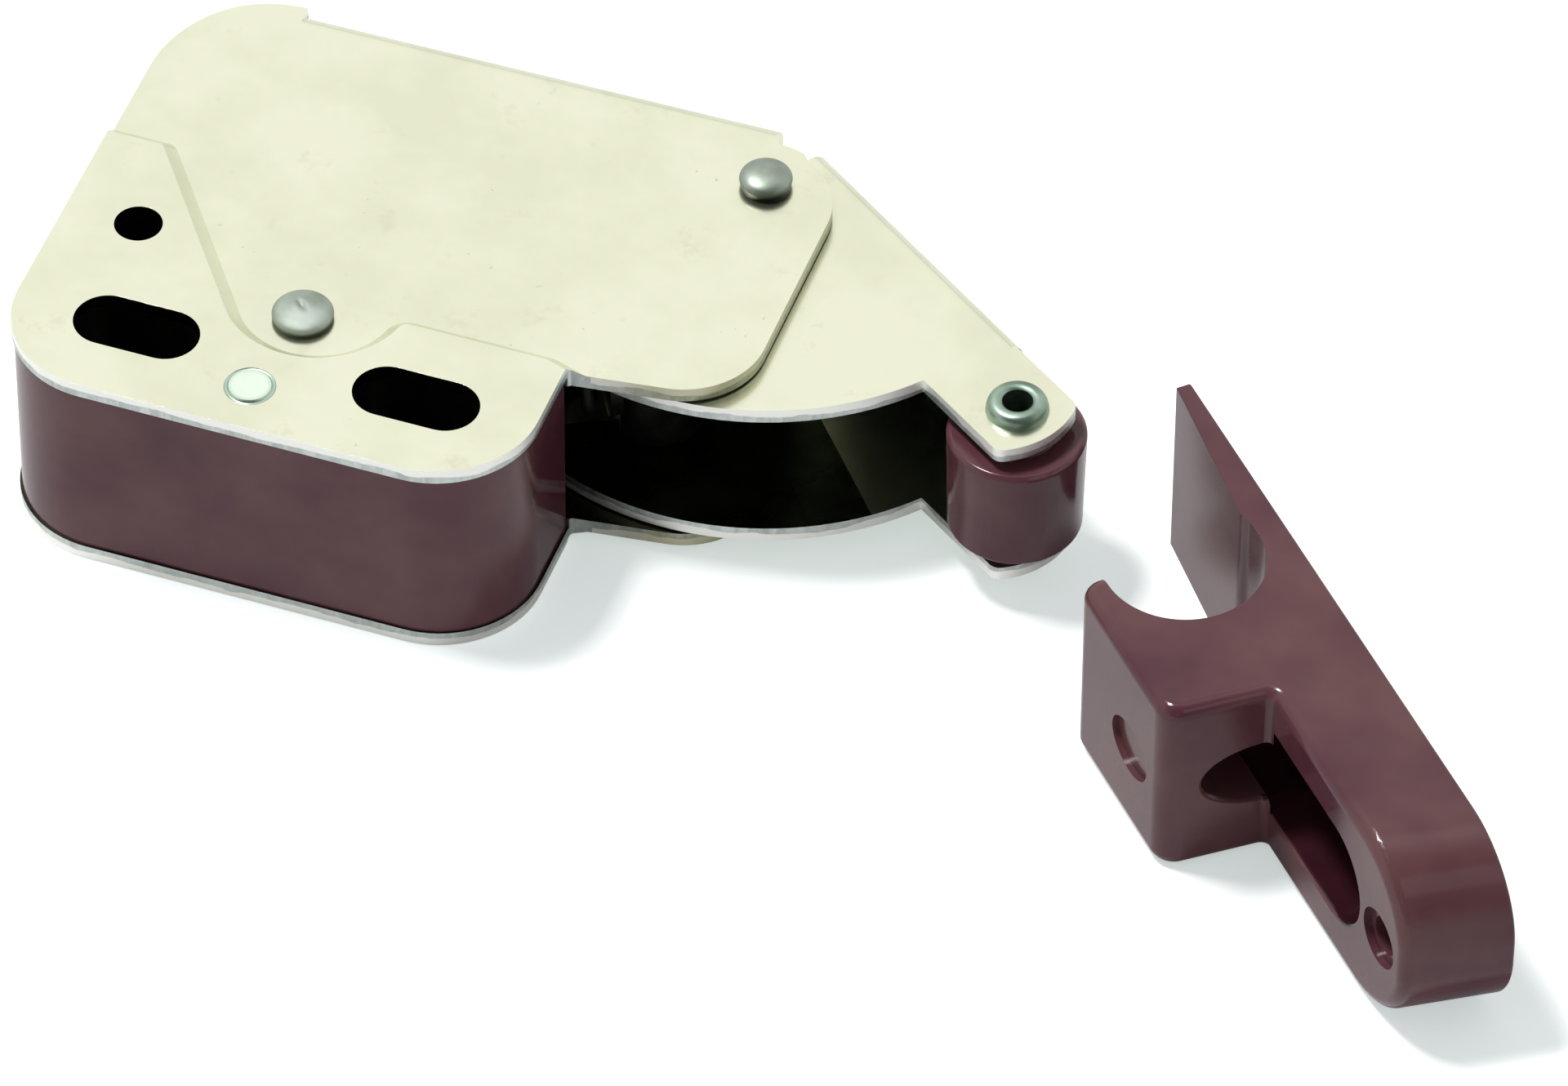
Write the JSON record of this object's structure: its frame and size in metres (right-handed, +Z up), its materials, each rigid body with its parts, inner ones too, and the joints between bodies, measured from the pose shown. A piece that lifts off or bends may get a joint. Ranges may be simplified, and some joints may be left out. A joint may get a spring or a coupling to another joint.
{
  "type": "roller catch",
  "caption": "Over-centre roller catch for a cabinet door: folded steel casing on a moulded spacer, a sprung swinging arm with a roller, and a separate moulded striker with a hooked mouth.",
  "frame": {"origin": "axis of the round fixing hole, at the lower clamp face on which the catch lies", "axes": "+X along the casing's folded back towards the arm, +Y from the clamping edge towards that back, +Z up through the catch's height along its pins"},
  "size_m": [0.0999, 0.0471, 0.0155],
  "materials": {
    "plated_steel": "satin nickel plate, warm pale tint",
    "rivet_steel": "satin grey",
    "spring_steel": "dark oiled",
    "brown_plastic": "glossy moulded"
  },
  "bodies": {
    "catch_body": {"casing": "plated_steel", "spacer": "brown_plastic", "spacer_rivet": "rivet_steel", "strut_pin": "rivet_steel", "arm_pin": "rivet_steel", "pivot_sleeve": "rivet_steel", "striker": "brown_plastic"},
    "arm": {"arm": "plated_steel", "roller_axle": "rivet_steel"},
    "roller": {"roller": "brown_plastic"},
    "strut": {"spring_guide": "spring_steel", "toggle_spring": "spring_steel"},
    "trunnion": {"trunnion": "spring_steel", "spring_seat": "spring_steel"}
  },
  "joints": [
    {"name": "arm_swing", "type": "hinge", "parent": "catch_body", "child": "arm", "pos_m": [0.0347, 0.0169, 0.0075], "axis": [0, 0, 1], "range_deg": [-60, 0], "stiffness_Nm_per_rad": 0.1, "springref_deg": 45.84, "deforming": ["toggle_spring"]},
    {"name": "roller_spin", "type": "hinge", "parent": "arm", "child": "roller", "pos_m": [0.05513, 0.00481, 0.0075], "axis": [0, 0, 1], "continuous": true},
    {"name": "strut_swing", "type": "hinge", "parent": "catch_body", "child": "strut", "pos_m": [0.0121, -0.0035, 0.0075], "axis": [0, 0, 1], "range_deg": [0, 29.5]},
    {"name": "trunnion_turn", "type": "hinge", "parent": "arm", "child": "trunnion", "pos_m": [0.03131, 0.00643, 0.0075], "axis": [0, 0, 1], "range_deg": [0, 89.5]}
  ],
  "couplings": [
    {"joint": "strut_swing", "follows": "arm_swing", "ratio": -0.49102},
    {"joint": "trunnion_turn", "follows": "arm_swing", "ratio": -1.491}
  ]
}
